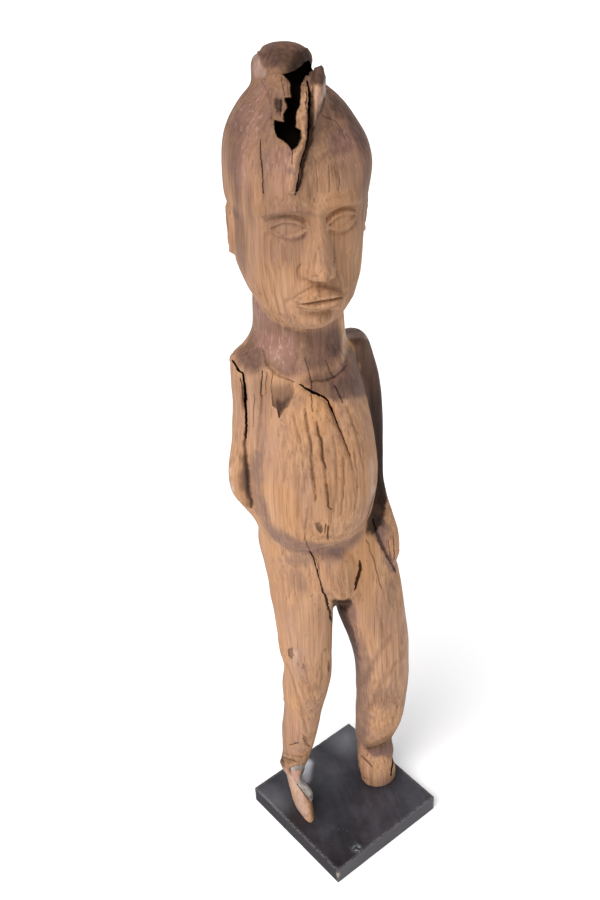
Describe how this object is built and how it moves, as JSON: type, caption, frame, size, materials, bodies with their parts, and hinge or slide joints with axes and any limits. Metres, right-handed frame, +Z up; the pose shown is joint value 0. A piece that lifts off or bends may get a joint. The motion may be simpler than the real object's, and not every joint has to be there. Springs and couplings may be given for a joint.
{
  "type": "dogon figure",
  "caption": "Tall carved wooden standing figure with a topknot and broken arms, weathered and split, on a square black plate.",
  "frame": {"origin": "middle of the plate's underside", "axes": "+Z up the figure, and the figure faces -Y; the plate is turned 22.9 degrees about Z"},
  "size_m": [0.2655, 0.264, 1.1815],
  "materials": {
    "weathered_wood": "dry, weathered, with a worn patina on the head and neck",
    "repair_compound": "matt grey filler",
    "black_paint": "satin black paint on wood, rubbed at the edges"
  },
  "bodies": {
    "root": {"figure": "weathered_wood", "ankle_filler": "repair_compound", "base_plate": "black_paint"}
  },
  "joints": []
}
